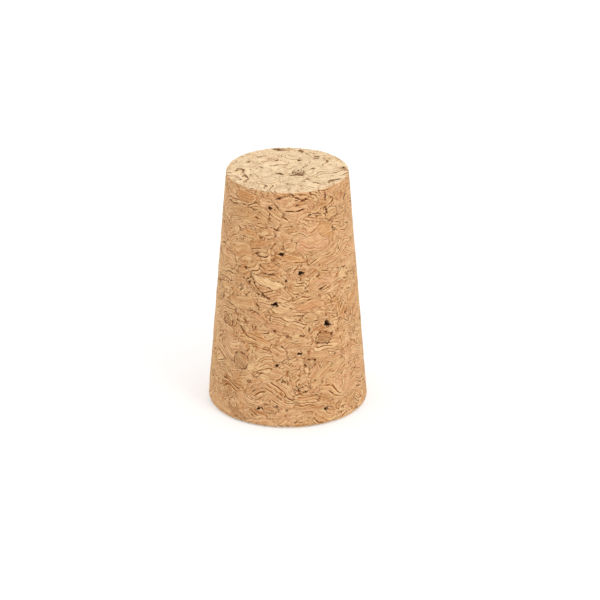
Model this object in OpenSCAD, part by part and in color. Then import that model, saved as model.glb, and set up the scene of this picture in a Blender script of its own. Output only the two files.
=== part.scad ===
// Tapered stopper of pressed cork granules.
//
// The origin is the centre of the flat wide end, and +Z runs up the axis to the narrow end.
// The stopper is one solid: granules are pressed into a block with a little binder, and the
// taper is ground from it. Where granules meet badly the ground surface opens into small angular
// voids. A void is deepest where three granules meet and runs out along the seams between them.

/* [Stopper] */
// Height between the flat ends
height = 33; // [20:0.5:60]
// Diameter of the wide end, before its rim is rounded
wide_d = 21.6; // [16:0.1:40]
// Diameter of the narrow end, before its rim is rounded
narrow_d = 16.3; // [10:0.1:32]

/* [Rims] */
// Radius of the worn rim of the wide end
wide_rim_r = 0.6; // [0.2:0.1:2]
// Radius of the freshly cut rim of the narrow end
narrow_rim_r = 0.3; // [0.15:0.05:2]
// Length of rim between one chip and the next
chip_spacing = 13; // [6:0.5:30]
// Width of the largest chip along the rim
chip_width = 1.8; // [1:0.1:3]
// Depth of the largest chip below the rounded rim
chip_depth = 0.2; // [0.1:0.05:0.5]

/* [Voids between granules] */
// Voids in each square centimetre of the ground surface
void_density = 3; // [1:0.5:6]
// Reach of the smallest void's longest fissure
small_reach = 0.4; // [0.2:0.05:0.5]
// Reach of the largest void's longest fissure, among those that are scattered
large_reach = 1; // [0.6:0.05:1.6]
// Depth of a void for each millimetre of its reach
depth_share = 0.7; // [0.3:0.05:1.2]
// Width of the body of a void, where its fissures start, for each millimetre of its reach
body_share = 0.7; // [0.4:0.05:0.8]
// How much of its width a void keeps when the press has squeezed it onto its longest fissure
squeeze = 0.7; // [0.4:0.05:1]
// Seed of the scatter
scatter_seed = 7; // [1:1:99]

/* [Lost granule] */
// Width of the shallow bed that a lost granule left in the narrow end
bed_width = 2.2; // [1:0.1:4]
// Depth of that bed
bed_depth = 0.25; // [0.1:0.05:0.5]
// Distance of the bed from the axis along X
bed_x = 1.4; // [-4:0.1:4]
// Distance of the bed from the axis along Y
bed_y = -1; // [-4:0.1:4]

/* [Hidden] */

cork = [0.82, 0.63, 0.45];
wide_r = wide_d / 2;
narrow_r = narrow_d / 2;
taper = atan((wide_r - narrow_r) / height);
rim_steps = 6;
mm2_per_cm2 = 100;
// The scatter keeps this far from the edges of each face, as a share of its area.
edge_margin = 0.04;
// Least clear cork between the fissures of one void and the next.
void_gap = 0.2;
// Power that makes small voids common and large ones rare.
rarity = 2.5;
// Reach of a void's two lesser fissures, as shares of the longest one's.
second_share = [0.45, 0.9];
third_share = [0.35, 0.7];
// The fissures lie 120 degrees apart, give or take this.
spread_limit = 25;
// A hollow stands past the surface by this share of its depth, so that the cut is clean on a curved face.
overcut = 0.3;
// The least chip's size as a share of the largest.
small_chip = 0.45;
// Chips of the narrow rim, whose edge is fresher, have this share of that size.
narrow_chip_share = 0.6;
// Bed widths that other voids keep from the middle of the lost granule's bed.
bed_berth = 1.5;
// Size of the bed's floor as a share of its outline.
floor_share = 0.7;

// The three faces, each from [radius, height] to [radius, height], in order up the outside.
wide_end = [[0, 0], [wide_r, 0]];
cone = [[wide_r, 0], [narrow_r, height]];
narrow_end = [[narrow_r, height], [0, height]];

// The voids of the front, as [bearing, share of the way up the cone, reach, turn].
// The longest fissure runs down the cone at turn 0, and round it toward +X on the front at 90.
front_voids = [
    [-106, 0.93, 0.7, 80],
    [-69, 0.9, 0.55, -75],
    [-46, 0.85, 0.5, 130],
    [-95, 0.74, 0.75, 100],
    [-40, 0.73, 0.5, 30],
    [-79, 0.66, 0.85, 95],
    [-91, 0.63, 0.6, 15],
    [-110, 0.56, 0.4, 55],
    [-100, 0.53, 0.95, -75],
    [-52, 0.52, 0.5, 20],
    [-57, 0.43, 1.1, 60],
    [-72, 0.42, 0.5, 5],
    [-151, 0.35, 0.5, 20],
    [-92, 0.37, 0.4, 80],
    [-81, 0.32, 0.7, 85],
    [-98, 0.27, 0.7, -95],
    [-94, 0.2, 0.55, 140],
    [-61, 0.07, 0.75, 120],
    [-111, 0.08, 0.7, -65]
];
// The rest of the cone, as bearings from and to, has scattered voids.
scattered_sector = [-25, 195];
full_circle = [0, 360];

// The larger voids of the narrow end, as [bearing, share of the way from rim to axis, reach, turn].
narrow_end_voids = [
    [74, 0.17, 0.9, 70],
    [100, 0.14, 0.7, -80],
    [45, 0.32, 0.8, 130],
    [4, 0.58, 0.6, 90],
    [-163, 0.25, 0.4, 60]
];

// Radius of the cone at a height above the wide end.
function radius_at(z) = wide_r + (narrow_r - wide_r) * z / height;

// Area of a face.
function area_of(face) = PI * (face[0][0] + face[1][0]) * norm(face[1] - face[0]);

// Share of the way along a face that has this share of its area behind it.
function share_at(face, area_share) =
    let (start = face[0][0], end = face[1][0])
    start == end ? area_share :
    (sqrt(start * start + area_share * (end * end - start * start)) - start) / (end - start);

// Place of a void's junction on its face.
function spot(face, void) =
    let (p = face[0] + (face[1] - face[0]) * void[1])
    [p[0] * cos(void[0]), p[0] * sin(void[0]), p[1]];

// One random stream for each property of a scatter, so that a longer scatter starts like a shorter one.
function stream(count, low, high, property) =
    rands(low, high, max(count, 1), scatter_seed + 100 * property);

// Reach of a void from an even random number.
function reach_of(chance) = small_reach + (large_reach - small_reach) * pow(chance, rarity);

// Voids scattered evenly over a sector of a face. Their longest fissures lie along turn, either way,
// give or take lean.
function scatter(face, sector, turn, lean, property) =
    let (
        area = area_of(face) * (sector[1] - sector[0]) / 360,
        count = round(void_density * area / mm2_per_cm2),
        bearing = stream(count, sector[0], sector[1], property),
        place = stream(count, edge_margin, 1 - edge_margin, property + 1),
        size = stream(count, 0, 1, property + 2),
        off = stream(count, -lean, lean, property + 3),
        flip = stream(count, 0, 1, property + 4)
    )
    [for (i = [0:1:count - 1])
        [
            bearing[i],
            share_at(face, place[i]),
            reach_of(size[i]),
            turn + off[i] + (flip[i] < 0.5 ? 0 : 180)
        ]];

// Whether a void keeps clear of all the others.
function clear(face, void, others) =
    len([for (other = others)
        if (norm(spot(face, void) - spot(face, other)) < void[2] + other[2] + void_gap) other]) == 0;

// The voids of a list, less each one that would run into one kept before it.
function apart(face, voids, kept = [], i = 0) =
    i == len(voids) ? kept :
    apart(face, voids, clear(face, voids[i], kept) ? concat(kept, [voids[i]]) : kept, i + 1);

// The voids of the narrow end that keep clear of the lost granule's bed and its clefts.
function off_bed(voids) =
    [for (void = voids)
        if (norm(spot(narrow_end, void) - [bed_x, bed_y, height]) > bed_width * bed_berth + void[2]) void];

// Outline of a void at the surface: three fissures of different reach, with the body between their roots,
// all squeezed onto the longest.
function star(reach, spread, second, third) =
    let (
        waist = reach * body_share / 2,
        a = 120 + spread,
        b = 240 + spread / 2,
        corners = [
            [reach, 0],
            [waist, a / 2],
            [reach * second, a],
            [waist, (a + b) / 2],
            [reach * third, b],
            [waist, (b + 360) / 2]
        ]
    )
    [for (corner = corners) corner[0] * [cos(corner[1]), squeeze * sin(corner[1])]];

// Points of a rim's rounding, as an arc about its centre from one elevation to another.
function rim_arc(centre, r, from, to) =
    [for (i = [0:rim_steps]) let (a = from + (to - from) * i / rim_steps) centre + r * [cos(a), sin(a)]];

// Centre of the rounding that touches the cone and the flat end at height z.
// up is 1 at the narrow end and -1 at the wide end.
function rim_centre(z, r, up) =
    let (level = z - up * r)
    [radius_at(level) - r / cos(taper), level];

// The stopper before anything has broken out of it, turned about its axis.
module blank() {
    wide_arc = rim_arc(rim_centre(0, wide_rim_r, -1), wide_rim_r, -90, taper);
    narrow_arc = rim_arc(rim_centre(height, narrow_rim_r, 1), narrow_rim_r, taper, 90);
    rotate_extrude($fn = 180)
        polygon(concat([[0, 0]], wide_arc, narrow_arc, [[0, height]]));
}

// Puts its children on a face: local Z points out of the cork, and local X back along the face.
module on_face(face, void) {
    along = face[1] - face[0];
    translate(spot(face, void))
        rotate([0, 0, void[0]])
            rotate([0, 90 - atan2(-along[0], along[1]), 0]) children();
}

// The hollow of a void: its star at the surface narrows to a point below the junction.
module hollow(reach, turn, spread, second, third) {
    depth = reach * depth_share;
    past = 1 + overcut;
    translate([0, 0, depth * overcut])
        rotate([0, 0, turn])
            mirror([0, 0, 1])
                linear_extrude(height = depth * past, scale = 0)
                    polygon(past * star(reach, spread, second, third));
}

// The hollows of all the voids of a face.
module hollows(face, voids, property) {
    spread = stream(len(voids), -spread_limit, spread_limit, property);
    second = stream(len(voids), second_share[0], second_share[1], property + 1);
    third = stream(len(voids), third_share[0], third_share[1], property + 2);
    for (i = [0:1:len(voids) - 1])
        on_face(face, voids[i]) hollow(voids[i][2], voids[i][3], spread[i], second[i], third[i]);
}

// A cleft: a void with its two longest fissures nearly in line along X.
module cleft(reach) {
    hollow(reach, 0, 40, 0.75, 0.35);
}

// Corners of the lost granule's outline, each a little nearer the middle or further out.
function bed_outline() =
    let (corners = 8, out = stream(corners, 0.75, 1.15, 90))
    [for (i = [0:1:corners - 1]) bed_width / 2 * out[i] * [cos(360 * i / corners), sin(360 * i / corners)]];

// The bed of a lost granule: a shallow hollow with a deep cleft along its front edge and one beside it.
module lost_granule_bed() {
    edge = bed_width * 0.4;
    translate([bed_x, bed_y, height]) {
        mirror([0, 0, 1]) linear_extrude(height = bed_depth, scale = floor_share) polygon(bed_outline());
        translate([bed_width * 0.15, -edge, 0]) rotate([0, 0, 188]) cleft(bed_width * 0.45);
        translate([-bed_width, -edge * 0.7, 0]) rotate([0, 0, -10]) cleft(bed_width * 0.35);
    }
}

// Chips that have crumbled off a rim. Each is a shallow scallop, centred on the middle of the rounding.
// centre and r are those of the rounding, and middle is the elevation of its middle.
module rim_chips(centre, r, middle, width, depth, property) {
    normal = [cos(middle), sin(middle)];
    ring = centre + r * normal;
    count = round(2 * PI * ring[0] / chip_spacing);
    drift = stream(count, -0.4, 0.4, property);
    size = stream(count, small_chip, 1, property + 1);
    for (i = [0:1:count - 1]) {
        half = width * size[i] / 2;
        deep = depth * size[i];
        scallop_r = (half * half + deep * deep) / (2 * deep);
        place = ring + (scallop_r - deep) * normal;
        rotate([0, 0, 360 * (i + drift[i]) / count])
            translate([place[0], 0, place[1]]) sphere(r = scallop_r, $fn = 64);
    }
}

module stopper() {
    // The granules are pressed flat, so on the cone the long fissures run round it.
    side_voids = apart(cone, concat(front_voids, scatter(cone, scattered_sector, 90, 28, 1)));
    narrow_scatter = scatter(narrow_end, full_circle, 0, 180, 10);
    narrow_voids = apart(narrow_end, off_bed(concat(narrow_end_voids, narrow_scatter)));
    wide_voids = apart(wide_end, scatter(wide_end, full_circle, 0, 180, 20));
    narrow_chip = narrow_chip_share * [chip_width, chip_depth];
    color(cork)
        difference() {
            blank();
            hollows(cone, side_voids, 40);
            hollows(narrow_end, narrow_voids, 50);
            hollows(wide_end, wide_voids, 60);
            lost_granule_bed();
            rim_chips(rim_centre(0, wide_rim_r, -1), wide_rim_r, (taper - 90) / 2,
                chip_width, chip_depth, 70);
            rim_chips(rim_centre(height, narrow_rim_r, 1), narrow_rim_r, (taper + 90) / 2,
                narrow_chip[0], narrow_chip[1], 80);
        }
}

stopper();
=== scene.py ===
import math
from collections import namedtuple

import bpy
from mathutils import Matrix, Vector


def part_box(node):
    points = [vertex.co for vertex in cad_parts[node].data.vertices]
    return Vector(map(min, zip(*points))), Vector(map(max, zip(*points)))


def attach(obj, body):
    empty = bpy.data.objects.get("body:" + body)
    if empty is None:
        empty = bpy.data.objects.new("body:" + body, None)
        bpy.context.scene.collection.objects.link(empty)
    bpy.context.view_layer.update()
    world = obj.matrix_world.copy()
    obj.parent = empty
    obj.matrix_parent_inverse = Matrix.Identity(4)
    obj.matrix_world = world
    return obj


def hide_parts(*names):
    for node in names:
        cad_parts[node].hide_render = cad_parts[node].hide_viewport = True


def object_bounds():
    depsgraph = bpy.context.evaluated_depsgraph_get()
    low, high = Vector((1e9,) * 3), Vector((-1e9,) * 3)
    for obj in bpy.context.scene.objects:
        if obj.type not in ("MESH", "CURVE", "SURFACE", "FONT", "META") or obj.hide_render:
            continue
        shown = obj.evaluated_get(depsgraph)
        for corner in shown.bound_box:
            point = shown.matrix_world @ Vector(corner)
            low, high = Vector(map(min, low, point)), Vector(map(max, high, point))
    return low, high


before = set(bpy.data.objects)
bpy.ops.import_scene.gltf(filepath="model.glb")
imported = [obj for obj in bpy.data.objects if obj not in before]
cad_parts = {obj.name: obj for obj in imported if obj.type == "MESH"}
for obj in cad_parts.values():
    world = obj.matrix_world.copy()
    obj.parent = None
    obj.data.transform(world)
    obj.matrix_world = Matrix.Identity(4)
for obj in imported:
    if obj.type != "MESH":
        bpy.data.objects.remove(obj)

bl_info = {
    "name": "Cork stopper",
    "version": (1, 0, 0),
    "blender": (4, 5, 0),
    "location": "3D View > Sidebar > Cork stopper",
    "description": "Dresses a tapered stopper of pressed cork granules and sets a plain studio round it",
    "category": "Object",
}

NODE = "stopper"
BODY = "root"
MM = 0.001
WHITE = (1.0, 1.0, 1.0)
# The camera's frame width in millimetres, and the nearest and farthest that it sees in metres.
SENSOR_WIDTH = 36.0
CAMERA_REACH = (0.01, 20.0)

cad_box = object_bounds()
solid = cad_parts[NODE]


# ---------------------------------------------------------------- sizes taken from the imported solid


def radius_at(height):
    """Largest distance from the axis at which rays aimed inwards meet the solid at a height."""
    rays = 180
    start = 1.0
    widest = 0.0
    for ray in range(rays):
        angle = 2 * math.pi * ray / rays
        outward = Vector((math.cos(angle), math.sin(angle), 0.0))
        met, place, _normal, _face = solid.ray_cast(outward * start + Vector((0, 0, height)), -outward)
        if met:
            widest = max(widest, place.xy.length)
    return widest


def cone_of_solid():
    """Height of the solid, and the radii at which its cone would meet the planes of its two ends."""
    low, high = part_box(NODE)
    height = high[2] - low[2]
    below, above = 0.2, 0.8
    wide = radius_at(height * below)
    narrow = radius_at(height * above)
    slope = (narrow - wide) / (above - below)
    return height, wide - slope * below, wide + slope * (1 - below)


SOLID_HEIGHT, SOLID_WIDE, SOLID_NARROW = cone_of_solid()


def shade(code):
    """Linear colour of six hexadecimal sRGB digits."""
    linear = []
    for start in (0, 2, 4):
        level = int(code[start:start + 2], 16) / 255
        linear.append(level / 12.92 if level <= 0.04045 else ((level + 0.055) / 1.055) ** 2.4)
    return tuple(linear)


def amount(name, description, default, **kind):
    """A property that holds one number."""
    return bpy.props.FloatProperty(name=name, description=description, default=default, **kind)


def length(name, description, default):
    """A length property, in metres, that Blender shows in the scene's unit."""
    return amount(name, description, default, min=0.0, precision=5, unit="LENGTH")


def share(name, description, default):
    """A property from 0 to 1."""
    return amount(name, description, default, min=0.0, max=1.0, subtype="FACTOR")


def tint(name, description, code):
    """A colour property, given as the sRGB digits of its default."""
    return bpy.props.FloatVectorProperty(
        name=name, description=description, default=shade(code), min=0.0, max=1.0, subtype="COLOR"
    )


class StopperForm(bpy.types.PropertyGroup):
    """Sizes of the stopper's body and of the relief in its surface."""

    height: length("Height", "Height of the stopper", SOLID_HEIGHT)
    wide_radius: length("Wide radius", "Radius of the cone at the wide end", SOLID_WIDE)
    narrow_radius: length("Narrow radius", "Radius of the cone at the narrow end", SOLID_NARROW)
    wide_rim: length("Wide rim", "Radius of the worn rim at the wide end", 0.0006)
    narrow_rim: length("Narrow rim", "Radius of the crisp rim at the narrow end", 0.0003)
    side_rows: bpy.props.IntProperty(
        name="Side rows", description="Rows of faces between the two rims", default=188, min=8
    )
    cap_cells: bpy.props.IntProperty(
        name="End cells", description="Cells across each flat end, a quarter of the cells around",
        default=96, min=8
    )
    seam_depth: length("Seam depth", "Depth of the grooves between granules", 0.00007)
    granule_step: length("Granule step", "Most that one granule lies below the next", 0.00005)
    pore_depth: length("Pore depth", "Depth of the small pores", 0.00016)


class CorkGrain(bpy.types.PropertyGroup):
    """Sizes of the pressed granules and of what is seen inside them."""

    granule_width: length("Granule width", "Usual width of a granule", 0.0042)
    granule_height: length("Granule height", "Usual height of a granule, flattened by the press", 0.0022)
    crumb_size: length("Crumb size", "Usual width of the crumbs between large granules", 0.0010)
    crumb_share: share("Crumb share", "Share of the granules that are broken into crumbs", 0.2)
    line_spacing: length("Line spacing", "Usual distance between growth lines", 0.00046)
    shift: bpy.props.FloatVectorProperty(
        name="Shift", description="Moves the whole pattern, which lays the granules out afresh",
        default=(0.0, 0.0, 0.0), unit="LENGTH"
    )


class CorkColours(bpy.types.PropertyGroup):
    """Colours of the granules, from the commonest to the rarest, and of the dark parts."""

    tan: tint("Tan", "Commonest granules", "D2A379")
    peach: tint("Peach", "Rosier granules", "DFAA85")
    amber: tint("Amber", "Orange-tan granules", "CB8A52")
    straw: tint("Straw", "Yellowish granules", "D2AB7B")
    cream: tint("Cream", "Palest granules", "F5CF9C")
    salmon: tint("Salmon", "Rosiest granules", "D4966A")
    mauve: tint("Mauve", "Dull brown granules", "A0714E")
    bark: tint("Bark", "Brown granules from near the bark", "985426")
    line: tint("Growth line", "Thin dark growth lines", "884400")
    seam: tint("Seam", "Dark seams between granules", "4E2200")
    # The voids' insides: partly their own dark brown and partly painted shade, which the steep walls and deep
    # floors get.
    pit_dark_and_shade: tint("Pit", "Inside of the voids", "1C0C04")
    # Painted light on the flat ends: their bleaching stands partly for a sandpapered finish and partly for
    # the brighter light and sheen on the top.
    sanded_and_lit: tint("Sanded end", "Tone to which the sanded ends are bleached", "FBE8C4")
    sanding_and_light: share("Sanding", "How far the sanded ends are bleached", 0.75)


class StudioLook(bpy.types.PropertyGroup):
    """The floor, the light and the camera."""

    floor_tint: bpy.props.FloatVectorProperty(
        name="Floor", description="Colour of the floor", default=(0.8, 0.8, 0.8),
        min=0.0, max=1.0, subtype="COLOR"
    )
    floor_glow: amount("Floor glow", "Lifts the floor to white for the camera alone", 0.3, min=0.0)
    key_power: amount("Key light", "Power of the large soft lamp", 1.3, min=0.0, unit="POWER")
    key_size: length("Key light size", "Width of the large soft lamp", 0.35)
    key_offset: bpy.props.FloatVectorProperty(
        name="Key light place", description="From the middle of the stopper to the large soft lamp",
        default=(0.46, -0.48, 0.46), unit="LENGTH"
    )
    fill: amount("Fill light", "Strength of the even light from all round", 0.94, min=0.0)
    camera_distance: length("Camera distance", "From the camera to the middle of the stopper", 0.5)
    camera_height: amount(
        "Camera angle", "Angle of the camera above the horizon", math.radians(23.9), subtype="ANGLE"
    )
    lens: amount("Lens", "Focal length of the camera, in millimetres", 223.8, min=1.0)
    aim_right: length("Aim to the right", "How far to the right of the stopper the camera aims", 0.00167)
    aim_down: length("Aim down", "How far below the stopper's middle the camera aims", 0.00223)


# ---------------------------------------------------------------- laying out node trees


# Places of a Mix node's sockets, which share their names, on its way in and out.
MIX_FACTOR, MIX_VECTORS, MIX_COLOURS = 0, (4, 5), (6, 7)
MIX_VECTOR_OUT, MIX_COLOUR_OUT = 1, 2


class Wire:
    """An output socket. Sums, products and powers with it add Math or Vector Math nodes."""

    def __init__(self, sheet, socket):
        self.sheet = sheet
        self.socket = socket

    def combined(self, operation, first, second):
        """The wire of a new node: Vector Math where either side is a vector, and Math otherwise."""
        wires = [side for side in (first, second) if isinstance(side, Wire)]
        vectors = [wire for wire in wires if wire.socket.type in {"VECTOR", "RGBA"}]
        kind = "ShaderNodeVectorMath" if vectors else "ShaderNodeMath"
        return self.sheet.add(kind, {"operation": operation}, {0: first, 1: second})

    def __add__(self, other):
        return self.combined("ADD", self, other)

    def __radd__(self, other):
        return self.combined("ADD", other, self)

    def __sub__(self, other):
        return self.combined("SUBTRACT", self, other)

    def __rsub__(self, other):
        return self.combined("SUBTRACT", other, self)

    def __mul__(self, other):
        return self.combined("MULTIPLY", self, other)

    def __rmul__(self, other):
        return self.combined("MULTIPLY", other, self)

    def __truediv__(self, other):
        return self.combined("DIVIDE", self, other)

    def __rtruediv__(self, other):
        return self.combined("DIVIDE", other, self)

    def __pow__(self, other):
        return self.combined("POWER", self, other)


class Sheet:
    """A node tree that is being laid out; every node comes from its add()."""

    def __init__(self, tree):
        self.tree = tree
        self.tree.nodes.clear()

    def add(self, kind, settings=None, inputs=None, output=0):
        """Makes a node, gives it its settings and then its inputs, and returns the wire of one output."""
        node = self.tree.nodes.new(kind)
        for name, value in (settings or {}).items():
            if name == "stops":
                self.fill_ramp(node.color_ramp, value)
            else:
                setattr(node, name, value)
        for key, value in (inputs or {}).items():
            socket = node.inputs[key]
            if isinstance(value, Wire):
                self.tree.links.new(value.socket, socket)
            else:
                socket.default_value = self.fitted(value, socket.type)
        if isinstance(output, (list, tuple)):
            return [Wire(self, node.outputs[name]) for name in output]
        return Wire(self, node.outputs[output]) if node.outputs else node

    @staticmethod
    def fitted(value, kind):
        """The value as the socket's kind needs it: a number fills a vector, and a colour gets its alpha."""
        if kind == "VECTOR" and isinstance(value, (int, float)):
            return (value,) * 3
        if kind == "RGBA":
            return (*tuple(value)[:3], 1.0)
        return value

    @staticmethod
    def fill_ramp(ramp, stops):
        """Sets a colour ramp's stops, given as pairs of place and colour."""
        while len(ramp.elements) < len(stops):
            ramp.elements.new(1.0)
        for element, (place, colour) in zip(ramp.elements, stops):
            element.position = place
            element.color = (*tuple(colour)[:3], 1.0)

    def maths(self, operation, *sides):
        """A Math node for what no operator stands for."""
        return self.add("ShaderNodeMath", {"operation": operation}, dict(enumerate(sides)))

    def vector_maths(self, operation, *sides):
        """A Vector Math node that gives a vector."""
        return self.add("ShaderNodeVectorMath", {"operation": operation}, dict(enumerate(sides)))

    def dot(self, first, second):
        """The dot product of two vectors."""
        return self.add(
            "ShaderNodeVectorMath", {"operation": "DOT_PRODUCT"}, {0: first, 1: second}, output="Value"
        )

    def join(self, *parts):
        """A vector of three numbers."""
        return self.add("ShaderNodeCombineXYZ", {}, dict(enumerate(parts)))

    def split(self, vector):
        """The three numbers of a vector."""
        return self.add("ShaderNodeSeparateXYZ", {}, {0: vector}, output=("X", "Y", "Z"))

    def rise(self, value, low, high):
        """0 below low, 1 above high, and a smooth step between."""
        return self.add(
            "ShaderNodeMapRange", {"interpolation_type": "SMOOTHSTEP"},
            {"Value": value, "From Min": low, "From Max": high},
        )

    def ridge(self, value, start, full, fade, end):
        """0 below start and above end, 1 between full and fade, and smooth steps between."""
        return self.rise(value, start, full) * (1 - self.rise(value, fade, end))

    def noise(self, place, size, detail=1.0, roughness=0.5):
        """Smooth noise from 0 to 1 whose waves are about as long as size."""
        return self.add(
            "ShaderNodeTexNoise", {},
            {"Vector": place, "Scale": 1 / size, "Detail": detail, "Roughness": roughness}, output="Fac",
        )

    def sway(self, place, size, reach, detail=1.0):
        """A vector that wanders by about reach over distances of size."""
        wander = self.add(
            "ShaderNodeTexNoise", {}, {"Vector": place, "Scale": 1 / size, "Detail": detail}, output="Color"
        )
        return self.vector_maths("SUBTRACT", wander, 0.5) * (2 * reach)

    def cells(self, place, sizes):
        """Cells of the given widths: the lot drawn by each, and the gap to its edge as a share of a cell."""
        scaled = self.vector_maths("DIVIDE", place, sizes)
        inputs = {"Vector": scaled, "Scale": 1.0}
        lot = self.add("ShaderNodeTexVoronoi", {"feature": "F1"}, inputs, output="Color")
        gap = self.add("ShaderNodeTexVoronoi", {"feature": "DISTANCE_TO_EDGE"}, inputs, output="Distance")
        return lot, gap

    def dots(self, place, size):
        """Scattered points about size apart: the lot that each drew, and the distance to it."""
        lot, distance = self.add(
            "ShaderNodeTexVoronoi", {"feature": "F1"}, {"Vector": place, "Scale": 1 / size},
            output=("Color", "Distance"),
        )
        return lot, distance * size

    def draw(self, lot):
        """Three fresh numbers from 0 to 1 for a cell, from the lot that it drew."""
        return self.add(
            "ShaderNodeTexWhiteNoise", {"noise_dimensions": "3D"}, {"Vector": lot}, output="Color"
        )

    def pick(self, factor, first, second):
        """The first vector where factor is 0 and the second where it is 1."""
        inputs = {MIX_FACTOR: factor, MIX_VECTORS[0]: first, MIX_VECTORS[1]: second}
        return self.add("ShaderNodeMix", {"data_type": "VECTOR"}, inputs, output=MIX_VECTOR_OUT)

    def paint(self, factor, first, second, blend="MIX"):
        """The first colour where factor is 0 and the second where it is 1."""
        settings = {"data_type": "RGBA", "blend_type": blend}
        inputs = {MIX_FACTOR: factor, MIX_COLOURS[0]: first, MIX_COLOURS[1]: second}
        return self.add("ShaderNodeMix", settings, inputs, output=MIX_COLOUR_OUT)


# ---------------------------------------------------------------- the pressed granules


# A granule with a place of its own on the part. Its bearing and turn are in degrees, and its height
# and half sizes in millimetres. cover is how far its colour hides the common one, lines how far its
# growth lines show, and outline how dark its seam is.
Granule = namedtuple("Granule", "bearing height half_width half_height turn colour cover lines outline")
OWN_GRANULES = [Granule(*row) for row in (
    (-131, 31.5, 2.0, 0.7, 0, "amber", 0.4, 0.3, 0.1),
    (-109, 27.3, 1.5, 0.7, 0, "peach", 0.5, 1.0, 0.5),
    (-126, 26.7, 1.8, 0.6, 0, "amber", 0.9, 0.4, 0.1),
    (-133, 24.0, 2.0, 1.4, 0, "amber", 0.6, 0.4, 0.2),
    (-68, 25.6, 2.2, 1.2, 0, "peach", 0.95, 0.3, 0.2),
    (-55, 27.3, 1.1, 1.1, 0, "amber", 0.4, 0.3, 0.1),
    (-46, 29.2, 0.9, 0.8, 0, "straw", 0.6, 1.0, 0.7),
    (-105, 22.4, 1.2, 0.8, 0, "amber", 0.4, 1.0, 0.6),
    (-130, 21.5, 0.9, 0.7, 0, "amber", 0.6, 0.3, 0.7),
    (-116, 19.3, 1.4, 0.4, -40, "mauve", 0.95, 0.4, 0.9),
    (-106, 20.4, 2.3, 0.62, -12, "cream", 1.0, 0.0, 0.6),
    (-129, 17.0, 2.3, 1.0, 0, "amber", 0.4, 0.3, 0.0),
    (-72, 17.2, 2.2, 0.7, 0, "salmon", 1.0, 0.4, 0.2),
    (-111, 15.4, 1.1, 0.7, 0, "salmon", 0.5, 0.5, 0.2),
    (-72, 15.4, 1.4, 0.5, 0, "straw", 0.7, 1.0, 0.3),
    (-145, 13.7, 0.9, 0.5, 0, "bark", 0.9, 0.3, 0.8),
    (-88, 14.0, 1.1, 0.7, 0, "tan", 0.6, 0.2, 0.1),
    (-60, 12.6, 1.0, 0.8, 0, "mauve", 1.0, 0.4, 1.0),
    (-97, 10.6, 1.1, 1.0, 0, "tan", 0.6, 0.4, 0.5),
    (-66, 9.8, 1.7, 0.8, 15, "tan", 0.7, 0.4, 0.2),
    (-128, 8.8, 1.3, 1.1, -30, "mauve", 1.0, 0.6, 0.9),
    (-72, 9.0, 0.7, 0.4, 0, "mauve", 1.0, 0.3, 1.0),
    (-142, 7.8, 0.7, 0.7, 0, "straw", 0.7, 0.2, 0.1),
    (-98, 7.8, 0.8, 0.9, 0, "tan", 0.6, 0.1, 0.4),
    (-78, 5.7, 0.8, 0.3, 8, "bark", 0.7, 0.3, 0.9),
    (-76, 4.2, 1.6, 0.7, 0, "salmon", 0.45, 1.0, 0.4),
    (-103, 2.6, 1.1, 0.7, 0, "mauve", 0.4, 1.0, 0.5),
    (-131, 1.3, 1.5, 0.45, -20, "mauve", 0.9, 0.5, 0.4),
    (-95, 32.6, 0.9, 0.5, 0, "amber", 0.5, 1.0, 0.3),
    (-122, 36.8, 1.3, 1.1, 0, "straw", 0.3, 1.0, 0.4),
)]
# Places where a seam is full of dark dust, as bearing, height, half sizes and turn. A height beyond
# the stopper's own counts on over the rim and inwards along the narrow end.
DUST = (
    (-116, 24.2, 0.3, 0.26, 0), (-106, 29.5, 0.14, 0.55, 0), (-124, 30.3, 0.45, 0.12, -20),
    (-64, 29.8, 0.45, 0.12, 15), (-107, 18.4, 0.62, 0.2, -20), (-133, 14.3, 0.3, 0.18, 0),
    (-126, 13.0, 1.3, 0.14, -42), (-117, 16.1, 1.1, 0.08, -25), (-100, 13.8, 0.34, 0.2, 0),
    (-73, 13.9, 0.14, 0.4, 0), (-78, 13.1, 0.5, 0.12, 0), (-61, 19.3, 0.6, 0.12, 20),
    (-125, 7.8, 0.45, 0.12, 5), (-120, 6.2, 0.4, 0.26, 0), (-127, 21.9, 0.3, 0.2, 0),
    (-63, 6.4, 0.12, 0.35, 0), (-96, 32.2, 0.8, 0.14, 20), (-83, 32.4, 0.7, 0.16, -35),
    (-74, 31.9, 0.8, 0.13, 20), (-68, 32.6, 0.2, 0.35, 20), (-53, 31.8, 0.2, 0.7, 0),
    (-53, 30.0, 0.2, 0.6, 20), (-25, 30.8, 0.9, 0.18, 50), (-126, 39.3, 0.5, 0.3, -15),
    (-46, 39.0, 0.75, 0.8, 0), (-75, 38.9, 0.5, 0.2, -10), (142, 38.8, 0.7, 0.15, 0),
    (5, 37.7, 0.3, 0.4, 0), (25, 38.6, 0.8, 0.12, 60), (99, 34.0, 1.0, 0.5, -10),
    (75, 34.1, 0.4, 0.35, 0), (49, 35.2, 0.5, 0.3, 10), (-52, 36.7, 0.5, 0.12, -50),
    (-51, 35.0, 0.9, 0.15, -35), (-30, 33.9, 1.1, 0.2, 20), (-158, 34.8, 0.15, 0.25, 0),
    (-150, 34.0, 0.2, 0.3, 0),
)
# How strongly growth lines lie level, and how strongly the lot of a granule tilts them.
LEVELNESS = 0.62
TILT = 0.6
# A distance in millimetres that stands for no seam nearby.
FAR = 9.0


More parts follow.
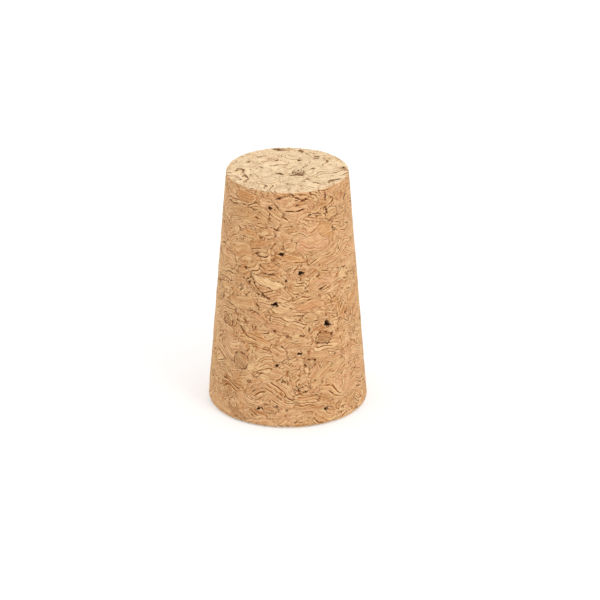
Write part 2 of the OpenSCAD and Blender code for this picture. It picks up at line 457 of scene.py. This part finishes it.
def place_on_part(bearing, height, turn, form):
    """A place on the part in millimetres, and the directions across, along and out of what lies there."""
    angle, turned = math.radians(bearing), math.radians(turn)
    full = form.height / MM
    aside = Vector((math.cos(angle), math.sin(angle), 0.0))
    upright = Vector((0.0, 0.0, 1.0))
    if height > full:
        centre = aside * (form.narrow_radius / MM - (height - full)) + upright * full
        level, rising, outward = Vector((1.0, 0.0, 0.0)), Vector((0.0, 1.0, 0.0)), upright
    else:
        radius = form.wide_radius + (form.narrow_radius - form.wide_radius) * height / full
        centre = aside * radius / MM + upright * height
        level, rising, outward = Vector((-aside.y, aside.x, 0.0)), upright, aside
    across = level * math.cos(turned) + rising * math.sin(turned)
    along = rising * math.cos(turned) - level * math.sin(turned)
    return centre, across, along, outward


def spans_of(sheet, place, form, bearing, height, half_width, half_height, turn):
    """How far a place lies across, along and out of a spot on the part, in half sizes of the spot."""
    half_depth = 2.5
    centre, across, along, outward = place_on_part(bearing, height, turn, form)
    offset = place - tuple(centre)
    scaled = (across / half_width, along / half_height, outward / half_depth)
    return [sheet.dot(offset, tuple(direction)) for direction in scaled]


def oval_reach(sheet, spans):
    """How far a place lies from the middle of an oval: 1 on its outline."""
    return sheet.add("ShaderNodeVectorMath", {"operation": "LENGTH"}, {0: sheet.join(*spans)}, output="Value")


def block_reach(sheet, spans):
    """How far a place lies from the middle of a block with cut corners: 1 on its outline."""
    corner = 0.7
    across, along, outward = [sheet.maths("ABSOLUTE", span) for span in spans]
    straight = sheet.maths("MAXIMUM", sheet.maths("MAXIMUM", across, along), outward)
    return sheet.maths("MAXIMUM", straight, (across + along) * corner)


def lot_of(index, granule, form):
    """The lot of a granule of OWN_GRANULES, which runs its growth lines along it."""
    middle, apart = 0.5, 0.01
    along = place_on_part(granule.bearing, granule.height, granule.turn, form)[2]
    tilt = (along - Vector((0.0, 0.0, 1.0))) * (LEVELNESS / TILT)
    return tuple(part + middle + apart * index for part in tilt)


def scattered_granules(sheet, place, grain):
    """The granules and crumbs that lie at random: their lot, their seam, and where crumbs are."""
    width = grain.granule_width / MM
    height = grain.granule_height / MM
    crumb = grain.crumb_size / MM
    crumb_height = crumb * 0.7
    seam_share, crumb_seam_share = 1.3, 0.85
    shifted = place + tuple(part / MM for part in grain.shift)
    curl = sheet.sway(shifted, size=width * 0.9, reach=width * 0.3)
    nibble = sheet.sway(shifted, size=width * 0.22, reach=width * 0.05)
    lot, gap = sheet.cells(shifted + (curl + nibble), (width, width, height))
    seam = gap * height * seam_share
    stirred = shifted + sheet.sway(shifted, size=crumb * 0.8, reach=crumb * 0.35)
    crumb_lot, crumb_gap = sheet.cells(stirred, (crumb, crumb, crumb_height))
    crumb_seam = crumb_gap * crumb * crumb_seam_share
    broken = sheet.maths("LESS_THAN", sheet.split(sheet.draw(lot))[0], grain.crumb_share)
    filling = sheet.noise(shifted, width * 0.6) * 0.5 - 0.15
    crumbly = sheet.maths("MAXIMUM", broken, sheet.maths("LESS_THAN", seam, filling))
    lot = sheet.pick(crumbly, lot, crumb_lot)
    seam = sheet.maths("MINIMUM", seam, crumb_seam + (1 - crumbly) * FAR)
    return lot, seam, crumbly


def granules(sheet, place, form, grain, colours):
    """Lays out the granules at a place in millimetres, for the relief and the colour alike.

    Returns the lot that the granule or crumb drew, the distance in millimetres to its seam, where
    crumbs fill the room between large granules, how far growth lines show, how dark the outline of a
    granule of OWN_GRANULES is, and the colour of those granules with how far it covers.
    """
    lot, seam, crumbly = scattered_granules(sheet, place, grain)
    outline_from, outline_to = 0.04, 0.12
    own_lot = (0.5, 0.5, 0.5)
    own_seam = FAR
    taken = 0.0
    paint = tuple(colours.tan)[:3]
    cover = 0.0
    lines = 1.0
    outline = 0.0
    bent = place + sheet.sway(place, size=2.2, reach=0.7) + sheet.sway(place, size=0.6, reach=0.28)
    # A surface has room for only so many values at once, so what this loop gathers meets the random
    # layout after it.
    for index, granule in enumerate(OWN_GRANULES):
        reach = block_reach(sheet, spans_of(sheet, bent, form, *granule[:5]))
        inside = sheet.maths("LESS_THAN", reach, 1.0)
        rim = sheet.maths("ABSOLUTE", reach - 1.0) * granule.half_height
        drawn = 1 - sheet.rise(rim, outline_from, outline_to)
        own_lot = sheet.pick(inside, own_lot, lot_of(index, granule, form))
        own_seam = sheet.maths("MINIMUM", own_seam + inside * FAR, rim)
        taken = sheet.maths("MAXIMUM", inside, taken)
        lines = lines * (1 - inside) + inside * granule.lines
        outline = sheet.maths("MAXIMUM", outline, drawn * granule.outline)
        paint = sheet.pick(inside, paint, tuple(getattr(colours, granule.colour))[:3])
        cover = cover * (1 - inside) + inside * granule.cover
    return {
        "lot": sheet.pick(taken, lot, own_lot), "seam": sheet.maths("MINIMUM", seam + taken * FAR, own_seam),
        "crumbly": crumbly * (1 - taken), "lines": lines, "outline": outline, "paint": paint, "cover": cover,
    }


def pores(sheet, spot, core):
    """Where the small pores are: 1 inside a core, which is a share of a pore, and 0 outside the pore."""
    apart, largest, rarity = 1.3, 0.32, 3.0
    lot, gap = sheet.dots(spot + sheet.sway(spot, size=0.5, reach=0.12), apart)
    size = sheet.split(lot)[0] ** rarity * largest
    return 1 - sheet.rise(gap / size, core, 1.0)


# ---------------------------------------------------------------- the body and its relief


def rounded(radius, height, rim, start, end, steps):
    """Radius and height of each ring of a rim that turns from one angle to another about its middle."""
    angles = [start + (end - start) * step / steps for step in range(steps + 1)]
    return [(radius + rim * math.cos(angle), height + rim * math.sin(angle)) for angle in angles]


def rim_profile(form):
    """Radius and height of each ring from the flat of the wide end up to the flat of the narrow end."""
    wide_steps, narrow_steps = 7, 4
    quarter = math.pi / 2
    lean = math.atan2(form.wide_radius - form.narrow_radius, form.height)
    wide_run = form.wide_rim / math.tan((quarter - lean) / 2)
    narrow_run = form.narrow_rim / math.tan((quarter + lean) / 2)
    wide_middle = form.wide_radius - wide_run
    narrow_middle, shoulder = form.narrow_radius - narrow_run, form.height - form.narrow_rim
    rings = rounded(wide_middle, form.wide_rim, form.wide_rim, -quarter, lean, wide_steps)
    top = rounded(narrow_middle, shoulder, form.narrow_rim, lean, quarter, narrow_steps)
    foot, head = rings[-1], top[0]
    for row in range(1, form.side_rows):
        part = row / form.side_rows
        rings.append((foot[0] + (head[0] - foot[0]) * part, foot[1] + (head[1] - foot[1]) * part))
    return rings + top


def disc_place(across, along):
    """Where a point of the square from -1 to 1 lands on the unit disc: its rings become circles."""
    if across == 0 and along == 0:
        return 0.0, 0.0
    if abs(across) > abs(along):
        reach, angle = across, math.pi / 4 * along / across
    else:
        reach, angle = along, math.pi / 2 - math.pi / 4 * across / along
    return reach * math.cos(angle), reach * math.sin(angle)


def cap(points, faces, ring_start, around, radius, height, upward):
    """Fills a ring with a grid of even squares, whose outermost points are the ring's own."""
    cells = around // 4
    index = {}
    for i in range(cells + 1):
        for j in range(cells + 1):
            x, y = disc_place(2 * i / cells - 1, 2 * j / cells - 1)
            if i in (0, cells) or j in (0, cells):
                turn = math.atan2(y, x) / (2 * math.pi)
                index[i, j] = ring_start + round(turn * around) % around
            else:
                index[i, j] = len(points)
                points.append((x * radius, y * radius, height))
    for i in range(cells):
        for j in range(cells):
            corners = [index[i, j], index[i + 1, j], index[i + 1, j + 1], index[i, j + 1]]
            faces.append(corners if upward else corners[::-1])


def blank_mesh(form):
    """The smooth stopper before its relief, as one closed mesh of even squares."""
    around = 4 * form.cap_cells
    points, faces = [], []
    rings = rim_profile(form)
    for radius, height in rings:
        for step in range(around):
            angle = 2 * math.pi * step / around
            points.append((radius * math.cos(angle), radius * math.sin(angle), height))
    for row in range(len(rings) - 1):
        for step in range(around):
            after = (step + 1) % around
            low, high = row * around, (row + 1) * around
            faces.append([low + step, low + after, high + after, high + step])
    cap(points, faces, 0, around, rings[0][0], rings[0][1], upward=False)
    cap(points, faces, (len(rings) - 1) * around, around, rings[-1][0], rings[-1][1], upward=True)
    mesh = bpy.data.meshes.new("cork_body")
    mesh.from_pydata(points, [], faces)
    mesh.polygons.foreach_set("use_smooth", [True] * len(faces))
    mesh.update()
    return mesh


# What the relief leaves on the mesh for the finish: the place before the relief, the depth of a void
# and its spread round the mouth in millimetres, where a void's wall is steep, and the two ends.
UNCUT, VOID, NEAR_VOID, STEEP_VOID, END_FACE = "uncut", "void", "near_void", "steep_void", "end_face"


RELIEF_INPUTS = {
    "Blank": "NodeSocketGeometry", "Solid": "NodeSocketObject", "Cork": "NodeSocketMaterial",
    "Seam Depth": "NodeSocketFloat", "Granule Step": "NodeSocketFloat", "Pore Depth": "NodeSocketFloat",
}


def relief_tree(form, grain, colours):
    """Geometry Nodes that sink the voids, seams, granules and pores into the blank."""
    tree = bpy.data.node_groups.new("cork_relief", "GeometryNodeTree")
    for name, kind in RELIEF_INPUTS.items():
        tree.interface.new_socket(name=name, in_out="INPUT", socket_type=kind)
    tree.interface.new_socket(name="Body", in_out="OUTPUT", socket_type="NodeSocketGeometry")
    sheet = Sheet(tree)
    finished, target, cork, seam_depth, granule_step, pore_depth = sheet.add(
        "NodeGroupInput", output=tuple(RELIEF_INPUTS)
    )
    place = sheet.add("GeometryNodeInputPosition")
    outward = sheet.add("GeometryNodeInputNormal")

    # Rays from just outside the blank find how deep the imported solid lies: its voids.
    margin, slack, deepest = 0.3 * MM, 0.02 * MM, 3.0 * MM
    body = sheet.add(
        "GeometryNodeObjectInfo", {"transform_space": "ORIGINAL"}, {"Object": target}, output="Geometry"
    )
    met, wall, run = sheet.add(
        "GeometryNodeRaycast", {},
        {
            "Target Geometry": body, "Source Position": place + outward * margin,
            "Ray Direction": outward * -1.0, "Ray Length": deepest,
        },
        output=("Is Hit", "Hit Normal", "Hit Distance"),
    )
    # How far a wall or a face leans is told by cosines.
    steep_wall, flat_wall = 0.5, 0.85
    side, end = 0.35, 0.9
    spread = 4
    void = sheet.maths("MAXIMUM", (run - (margin + slack)) * met, 0.0)
    void_mm = void / MM
    steep = (1 - sheet.rise(sheet.dot(wall, outward), steep_wall, flat_wall)) * met
    near = sheet.add(
        "GeometryNodeBlurAttribute", {"data_type": "FLOAT"}, {"Value": void_mm, "Iterations": spread}
    )
    end_face = sheet.rise(sheet.maths("ABSOLUTE", sheet.split(outward)[2]), side, end)
    for name, kind, value in (
        (UNCUT, "FLOAT_VECTOR", place), (VOID, "FLOAT", void_mm), (NEAR_VOID, "FLOAT", near),
        (STEEP_VOID, "FLOAT", steep), (END_FACE, "FLOAT", end_face),
    ):
        finished = sheet.add(
            "GeometryNodeStoreNamedAttribute", {"data_type": kind, "domain": "POINT"},
            {"Geometry": finished, "Name": name, "Value": value},
        )

    # The rest is laid out in millimetres.
    groove_width = 0.28
    pore_core = 0.5
    grit_size, grit_depth = 0.45, 0.03 * MM
    shallowest, deeper = 0.8, 0.4
    spot = place / MM
    field = granules(sheet, spot, form, grain, colours)
    groove = 1 - sheet.rise(field["seam"], 0.0, groove_width)
    open_part = sheet.rise(sheet.noise(spot, 1.6, detail=2), 0.38, 0.62)
    level = sheet.split(sheet.draw(field["lot"]))[1]
    grit = sheet.noise(spot, grit_size, detail=2)
    sunk = (
        groove * open_part * seam_depth + level * granule_step
        + pores(sheet, spot, pore_core) * pore_depth
        + grit * grit_depth + void * (shallowest + deeper * grit)
    )
    finished = sheet.add(
        "GeometryNodeSetPosition", {}, {"Geometry": finished, "Offset": outward * sunk * -1.0}
    )
    finished = sheet.add("GeometryNodeSetShadeSmooth", {}, {"Geometry": finished})
    finished = sheet.add("GeometryNodeRealizeInstances", {}, {"Geometry": finished})
    finished = sheet.add("GeometryNodeSetMaterial", {}, {"Geometry": finished, "Material": cork})
    sheet.add("NodeGroupOutput", {}, {"Body": finished})
    return tree


# ---------------------------------------------------------------- the cork's finish


# Tones of the granules, by the number from 0 to 1 that each draws.
TONES = (
    (0.0, "bark"), (0.05, "amber"), (0.22, "tan"), (0.42, "peach"),
    (0.56, "tan"), (0.7, "straw"), (0.84, "peach"), (1.0, "cream"),
)
# Soft clouds of tone that run over several granules: the size of one in millimetres, the levels of
# noise between which it comes in, its colour and strength, and the kind of its noise.
CLOUDS = (
    (1.6, 0.45, 0.75, "salmon", 0.45, {"detail": 3, "roughness": 0.6}),
    (1.1, 0.5, 0.8, "cream", 0.3, {"shift": 31.0, "detail": 2}),
    (3.0, 0.48, 0.66, "amber", 0.45, {"shift": 71.0, "detail": 2}),
)
# Dry cork scatters light softly and hardly shines.
CORK_SHEEN = {"Specular IOR Level": 0.1, "Sheen Weight": 0.5, "Sheen Roughness": 0.45}


class CorkSkin:
    """The cork's tone, laid over the granules coat by coat.

    Sizes and depths are in millimetres. A pair of bare numbers says where a mask starts and is full,
    and a sum of two says the least that shows and what a mask adds to it.
    """

    def __init__(self, sheet, form, grain, colours):
        self.sheet = sheet
        self.form = form
        self.colours = colours
        self.spacing = grain.line_spacing / MM
        self.spot = self.stored(UNCUT, "Vector") / MM
        self.void = self.stored(VOID, "Fac")
        self.near = self.stored(NEAR_VOID, "Fac")
        self.steep = self.stored(STEEP_VOID, "Fac")
        self.end_face = self.stored(END_FACE, "Fac")
        self.field = granules(sheet, self.spot, form, grain, colours)
        self.lots = sheet.split(self.field["lot"])
        self.rolls = sheet.split(sheet.draw(self.field["lot"]))
        fainter_on_ends = 0.25
        self.marked = 1 - self.end_face * fainter_on_ends
        self.open_marks = self.marked * self.field["lines"]
        self.direction = self.line_direction()
        self.across = sheet.dot(self.waved(), self.direction)
        crumble_size = 0.24
        self.crumble = self.noise(crumble_size, shift=9.0, detail=2)
        stops = [(place, getattr(colours, colour)) for place, colour in TONES]
        self.tone = sheet.add("ShaderNodeValToRGB", {"stops": stops}, {"Fac": self.rolls[1]}, "Color")

    def stored(self, name, output):
        """An attribute that the relief left on the mesh."""
        return self.sheet.add("ShaderNodeAttribute", {"attribute_name": name}, {}, output)

    def noise(self, size, shift=0.0, detail=1.0, roughness=0.5):
        """Noise over the cork. A shift of its own keeps it apart from others of its size."""
        place = self.spot + shift if shift else self.spot
        return self.sheet.noise(place, size, detail, roughness)

    def patches(self, size, low, high, **kind):
        """Patches about as wide as size, which come in as the noise rises from low to high."""
        return self.sheet.rise(self.noise(size, **kind), low, high)

    def coat(self, mask, colour, strength=1.0):
        """Lays a colour over the tone where the mask is, as thickly as strength says."""
        factor = mask if strength == 1.0 else mask * strength
        self.tone = self.sheet.paint(factor, self.tone, getattr(self.colours, colour))

    def line_direction(self):
        """The direction across the growth lines: near upright in a granule, and any in a crumb."""
        crumb_tilt = 1.8
        tilt = self.sheet.vector_maths("SUBTRACT", self.field["lot"], 0.5)
        tilt = tilt * (TILT + crumb_tilt * self.field["crumbly"]) + (0.0, 0.0, LEVELNESS)
        return self.sheet.vector_maths("NORMALIZE", tilt)

    def waved(self):
        """Places moved about, which bends the growth lines."""
        broad = self.sheet.sway(self.spot, size=3.4, reach=1.3)
        narrow = self.sheet.sway(self.spot, size=1.1, reach=0.16, detail=2)
        return self.spot + broad + narrow

    def lay_clouds(self):
        """The common tone over the crumbs, and the clouds over everything."""
        self.coat(self.field["crumbly"], "tan", 0.25)
        for size, low, high, colour, strength, kind in CLOUDS:
            self.coat(self.patches(size, low, high, **kind), colour, strength)

    def lay_own_granules(self):
        """The colours of the granules that have places of their own, slightly mottled."""
        thinnest, thicker, mottle_size = 0.75, 0.5, 0.5
        mottle = thinnest + thicker * self.noise(mottle_size, shift=43.0, detail=3, roughness=0.7)
        self.tone = self.sheet.paint(self.field["cover"] * mottle, self.tone, self.field["paint"])

    def lay_growth_lines(self):
        """Bands, streaks, ends paled partly by painted light, then growth lines. Returns how strong the lines
        are.
        """
        sheet, lines = self.sheet, self.field["lines"]
        closest, wider, start_apart, fade_size = 0.7, 0.8, 7.0, 1.5
        # Where the dark and pale parts start, are full, fade and end, from 0 to 1 through each line.
        dark_part, pale_part, pale_rim = (0.5, 0.64, 0.8, 0.94), (0.24, 0.38, 0.44, 0.54), (0.9, 0.97)
        least_pale, more_pale, least_dark, more_dark = 0.25, 0.7, 0.12, 0.82
        total = self.across * ((closest + self.rolls[2] * wider) / self.spacing) + self.lots[0] * start_apart
        phase = sheet.maths("FRACT", total)
        number = sheet.maths("FLOOR", total)
        band = sheet.split(sheet.draw(sheet.join(number, self.rolls[0], self.rolls[1])))
        fade = self.noise(fade_size, shift=11.0, detail=2)
        strong = sheet.rise(band[0], 0.1, 0.9) * (sheet.rise(fade, 0.4, 0.54) * lines * self.marked)
        dark = sheet.ridge(phase, *dark_part)
        pale = sheet.ridge(phase, *pale_part) + sheet.rise(phase, *pale_rim)
        self.coat(band[1], "amber", 0.3)
        self.coat(sheet.rise(band[2], 0.4, 1.0), "cream", 0.45)
        self.coat(phase, "amber", 0.2)
        contour = self.lay_streaks()
        # Painted light: the flat ends are bleached paler, partly for their sandpapered finish and partly for
        # the brighter light and sheen that fall on the top.
        self.coat(self.end_face, "sanded_and_lit", self.colours.sanding_and_light)
        self.coat(pale * (least_pale + more_pale * strong), "cream")
        self.lay_threads(contour)
        self.coat(dark * (least_dark + more_dark * strong), "line")
        self.lay_fine_lines()
        self.coat(dark * sheet.rise(band[0] * fade, 0.42, 0.56) * lines, "seam", 0.8)
        return dark * strong

    def lay_streaks(self):
        """Streaks along the growth lines. Returns how far a place is from the nearest of their contours."""
        along_share, across_share = 0.35, 2.6
        thickest, thinner_when_covered = 0.5, 0.35
        beside_contour = (0.03, 0.045, 0.06, 0.08)
        drawn_out = self.spot * along_share + self.direction * (self.across * across_share)
        streak = self.sheet.noise(drawn_out, 1.0, detail=2, roughness=0.6)
        self.coat(1 - self.sheet.rise(streak, 0.32, 0.52), "amber", 0.4)
        thickness = thickest - thinner_when_covered * self.field["cover"]
        self.coat(self.sheet.rise(streak, 0.5, 0.66) * thickness, "cream")
        contour = self.sheet.maths("ABSOLUTE", self.sheet.noise(drawn_out + 17.0, 1.0) - 0.5)
        self.coat(self.sheet.ridge(contour, *beside_contour), "cream", 0.35)
        return contour

    def lay_threads(self, contour):
        """Thin dark threads along the contours of the streaks, here and there."""
        thread = (1 - self.sheet.rise(contour, 0.008, 0.03)) * self.patches(1.2, 0.5, 0.58, shift=23.0)
        self.coat(thread * self.open_marks, "line", 0.45)

    def lay_fine_lines(self):
        """Finer lines between the growth lines, in patches."""
        closer, wander = 2.2, 3.0
        phase = self.sheet.maths("FRACT", self.across * (closer / self.spacing) + wander * self.noise(2.0))
        fine = self.sheet.ridge(phase, 0.5, 0.7, 0.8, 0.95)
        self.coat(fine * self.patches(0.9, 0.45, 0.6, shift=41.0, detail=2), "line", 0.4)

    def lay_seams(self):
        """Seams that come and go, with pale lips. Returns where the seams are."""
        sheet, seam, crumbly = self.sheet, self.field["seam"], self.field["crumbly"]
        edge_fade, lip_part = (0.02, 0.1), (0.07, 0.12, 0.14, 0.24)
        edge = 1 - sheet.rise(seam, *edge_fade)
        lip = sheet.ridge(seam, *lip_part)
        open_part = self.patches(1.6, 0.5, 0.62, detail=2) * self.marked
        string = self.patches(0.4, 0.46, 0.58, shift=3.0, detail=2)
        self.coat(lip * open_part, "cream", 0.6)
        self.coat(edge * (0.1 + 0.4 * string * open_part), "line")
        self.coat(edge * open_part * string * (0.8 - 0.4 * crumbly), "seam")
        self.coat(self.field["outline"] * (0.15 + 0.85 * string), "seam")
        return edge

    def lay_dust(self):
        """Brown stain and dark dust in the seams of DUST. Returns where the dust is."""
        sheet, spot = self.sheet, self.spot
        more_on_ends = 0.05 * self.end_face
        oval_fade = (0.6, 1.2)
        ragged = spot + sheet.sway(spot, size=0.8, reach=0.2) + sheet.sway(spot, size=0.25, reach=0.06)
        dusty = 0.0
        for mark in DUST:
            reach = oval_reach(sheet, spans_of(sheet, ragged, self.form, *mark))
            dusty = sheet.maths("MAXIMUM", dusty, 1 - sheet.rise(reach, *oval_fade))
        self.coat(dusty, "bark", 0.5)
        dusty = dusty * sheet.rise(self.crumble, 0.44 - more_on_ends, 0.53 - more_on_ends)
        self.coat(dusty, "seam", 0.9)
        return dusty

    def lay_rust(self):
        """Red-brown crumbs in patches."""
        rust = self.patches(0.36, 0.54, 0.62, shift=57.0, detail=3, roughness=0.7)
        rust = rust * self.patches(2.2, 0.5, 0.58, shift=61.0) * self.open_marks
        self.coat(rust, "bark", 0.6)

    def lay_specks(self):
        """Dark specks in patches, larger round the voids. Returns where they are."""
        sheet, spot = self.sheet, self.spot
        apart, largest, rarity, larger_near_void = 0.75, 0.2, 4.0, 0.12
        lot, gap = sheet.dots(spot + sheet.sway(spot, size=0.4, reach=0.1), apart)
        size = sheet.split(lot)[0] ** rarity * largest + sheet.rise(self.near, 0.0, 0.05) * larger_near_void
        speck = (1 - sheet.rise(gap / size, 0.6, 1.1)) * self.patches(2.2, 0.5, 0.62, shift=5.0)
        self.coat(speck * self.open_marks, "seam", 0.8)
        return speck

    def lay_pores(self):
        """The small pores that the relief sinks. Returns where they are."""
        pore_core = 0.55
        pore = pores(self.sheet, self.spot, pore_core)
        self.coat(pore * self.open_marks, "seam", 0.6)
        return pore

    def lay_voids(self):
        """Pale and crumbly mouths of the voids, insides dark partly as painted shade, and flat beds of lost
        granules.
        """
        sheet, void, near = self.sheet, self.void, self.near
        bed_depth, fray, fray_size = 0.32, 0.24, 0.26
        self.coat(sheet.rise(void, 0.1, 0.18) * (1 - self.steep), "bark", 0.25)
        self.coat(sheet.rise(near, 0.01, 0.05) * (1 - sheet.rise(void, 0.0, 0.06)), "cream", 0.25)
        self.coat(sheet.rise(near, 0.01, 0.07) * sheet.rise(self.crumble, 0.48, 0.56), "seam", 0.8)
        # Painted shade in the voids: steep walls and deep floors get a dark brown rim and then a near-black
        # core, partly the walls' own dark colour.
        pit_dark_and_shade = sheet.maths("MAXIMUM", void * self.steep, void - bed_depth)
        frayed = pit_dark_and_shade + (self.noise(fray_size, detail=2) - 0.5) * fray
        self.coat(sheet.rise(frayed, -0.02, 0.1) * sheet.rise(pit_dark_and_shade, 0.01, 0.05), "seam", 0.85)
        self.coat(sheet.rise(frayed, 0.08, 0.16) * sheet.rise(pit_dark_and_shade, 0.03, 0.08), "pit_dark_and_shade")

    def lay_grit(self):
        """Fine grit that darkens and lightens the tone, its blue the most. Returns the grit."""
        grit_size = 0.2
        darkest_and_range = ((0.7, 0.62), (0.65, 0.7), (0.58, 0.8))
        grit = self.noise(grit_size, detail=3, roughness=0.75)
        weights = self.sheet.join(*(darkest + grit * extra for darkest, extra in darkest_and_range))
        self.tone = self.sheet.paint(1.0, self.tone, weights, "MULTIPLY")
        return grit


def cork_material(form, grain, colours):
    """Pressed cork: granules of several tones with growth lines, dark seams, specks and voids."""
    material = bpy.data.materials.new("pressed_cork")
    material.use_nodes = True
    sheet = Sheet(material.node_tree)
    skin = CorkSkin(sheet, form, grain, colours)
    skin.lay_clouds()
    skin.lay_own_granules()
    line = skin.lay_growth_lines()
    edge = skin.lay_seams()
    dust = skin.lay_dust()
    skin.lay_rust()
    hollow = skin.lay_specks() + skin.lay_pores() + dust
    skin.lay_voids()
    grit = skin.lay_grit()

    # Heights for the bump, in millimetres.
    grit_height, line_depth, edge_depth, hollow_depth = 0.02, 0.02, 0.02, 0.05
    swell = grit * grit_height - line * line_depth - edge * edge_depth - hollow * hollow_depth
    normal = sheet.add("ShaderNodeBump", {}, {"Strength": 1.0, "Distance": MM, "Height": swell})
    smoothest, rougher = 0.66, 0.16
    surface = sheet.add(
        "ShaderNodeBsdfPrincipled", {},
        {
            "Base Color": skin.tone, "Roughness": smoothest + rougher * grit, **CORK_SHEEN,
            "Sheen Tint": colours.cream, "Normal": normal,
        },
        "BSDF",
    )
    sheet.add("ShaderNodeOutputMaterial", {}, {"Surface": surface})
    return material


def floor_material(colour, glow):
    """An even matt floor that keeps shadows and looks white wherever the light falls on it."""
    material = bpy.data.materials.new("studio_floor")
    material.use_nodes = True
    sheet = Sheet(material.node_tree)
    seen = sheet.add("ShaderNodeLightPath", output="Is Camera Ray")
    paint = sheet.add("ShaderNodeBsdfDiffuse", {}, {"Color": colour})
    lift = sheet.add("ShaderNodeEmission", {}, {"Color": WHITE, "Strength": seen * glow})
    surface = sheet.add("ShaderNodeAddShader", {}, {0: paint, 1: lift})
    sheet.add("ShaderNodeOutputMaterial", {}, {"Surface": surface})
    return material


def linked(name, data):
    """An object at the origin that shows the data."""
    made = bpy.data.objects.new(name, data)
    bpy.context.scene.collection.objects.link(made)
    return made


class OBJECT_OT_cork_body(bpy.types.Operator):
    """Make the stopper's body of pressed cork in place of its plain solid"""

    bl_idname = "object.cork_body"
    bl_label = "Cork body"

    def execute(self, context):
        scene = context.scene
        form, grain = scene.stopper_form, scene.cork_grain
        piece = linked("cork_body", blank_mesh(form))
        material = cork_material(form, grain, scene.cork_colours)
        relief = piece.modifiers.new("relief", "NODES")
        relief.node_group = relief_tree(form, grain, scene.cork_colours)
        given = {
            "Solid": solid, "Cork": material, "Seam Depth": form.seam_depth,
            "Granule Step": form.granule_step, "Pore Depth": form.pore_depth,
        }
        for item in relief.node_group.interface.items_tree:
            if item.name in given:
                relief[item.identifier] = given[item.name]
        context.view_layer.update()
        shaped = piece.evaluated_get(context.evaluated_depsgraph_get())
        mesh = bpy.data.meshes.new_from_object(shaped)
        if len(mesh.polygons) != len(piece.data.polygons):
            raise RuntimeError("the relief did not keep the faces of the blank")
        blank = piece.data
        piece.modifiers.remove(relief)
        piece.data = mesh
        bpy.data.meshes.remove(blank)
        mesh.name = "cork_body"
        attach(piece, BODY)
        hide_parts(NODE)
        return {"FINISHED"}


class OBJECT_OT_studio(bpy.types.Operator):
    """Set the floor, the light and the camera round the stopper"""

    bl_idname = "object.stopper_studio"
    bl_label = "Studio"

    def execute(self, context):
        scene = context.scene
        look = scene.studio_look
        low, high = Vector(cad_box[0]), Vector(cad_box[1])
        middle = (low + high) / 2

        reach = 3.0
        signs = ((-1, -1), (1, -1), (1, 1), (-1, 1))
        corners = [(across * reach, along * reach, low.z) for across, along in signs]
        floor = bpy.data.meshes.new("floor")
        floor.from_pydata(corners, [], [(0, 1, 2, 3)])
        floor.materials.append(floor_material(look.floor_tint, look.floor_glow))
        linked("floor", floor)

        world = bpy.data.worlds.new("studio")
        scene.world = world
        world.use_nodes = True
        sheet = Sheet(world.node_tree)
        camera_ray, glossy_ray, transmission_ray = sheet.add(
            "ShaderNodeLightPath", output=("Is Camera Ray", "Is Glossy Ray", "Is Transmission Ray")
        )
        seen = sheet.maths("MAXIMUM", camera_ray, sheet.maths("MAXIMUM", glossy_ray, transmission_ray))
        strength = look.fill + seen * (1.0 - look.fill)
        glow = sheet.add("ShaderNodeBackground", {}, {"Color": WHITE, "Strength": strength})
        sheet.add("ShaderNodeOutputWorld", {}, {"Surface": glow})

        lamp = bpy.data.lights.new("key", "AREA")
        lamp.shape = "DISK"
        lamp.size = look.key_size
        lamp.energy = look.key_power
        key = linked("key", lamp)
        key.location = middle + Vector(look.key_offset)
        key.rotation_euler = (middle - key.location).to_track_quat("-Z", "Y").to_euler()

        camera = linked("camera", bpy.data.cameras.new("camera"))
        camera.data.lens = look.lens
        camera.data.sensor_width = SENSOR_WIDTH
        camera.data.clip_start, camera.data.clip_end = CAMERA_REACH
        back = Vector((0.0, -math.cos(look.camera_height), math.sin(look.camera_height)))
        upward = Vector((0.0, math.sin(look.camera_height), math.cos(look.camera_height)))
        aim = middle + Vector((look.aim_right, 0.0, 0.0)) - upward * look.aim_down
        camera.location = aim + back * look.camera_distance
        camera.rotation_euler = (-back).to_track_quat("-Z", "Y").to_euler()
        scene.camera = camera
        scene.view_settings.view_transform = "Standard"
        return {"FINISHED"}


class VIEW3D_PT_cork_stopper(bpy.types.Panel):
    """Lists what builds the stopper"""

    bl_label = "Cork stopper"
    bl_space_type = "VIEW_3D"
    bl_region_type = "UI"
    bl_category = "Cork stopper"

    def draw(self, context):
        for operator in OPERATORS:
            self.layout.operator(operator.bl_idname)


OPERATORS = (OBJECT_OT_cork_body, OBJECT_OT_studio)
SETTINGS = {
    "stopper_form": StopperForm, "cork_grain": CorkGrain, "cork_colours": CorkColours,
    "studio_look": StudioLook,
}
CLASSES = (*SETTINGS.values(), *OPERATORS, VIEW3D_PT_cork_stopper)


def register():
    """Makes the classes known to Blender and hangs the settings on the scene."""
    for group in CLASSES:
        bpy.utils.register_class(group)
    for name, group in SETTINGS.items():
        setattr(bpy.types.Scene, name, bpy.props.PointerProperty(type=group))


def unregister():
    """Takes the settings and the classes away again."""
    for name in SETTINGS:
        delattr(bpy.types.Scene, name)
    for group in reversed(CLASSES):
        bpy.utils.unregister_class(group)


def main():
    """Builds the stopper and its studio."""
    register()
    bpy.ops.object.cork_body()
    bpy.ops.object.stopper_studio()


if __name__ == "__main__":
    main()
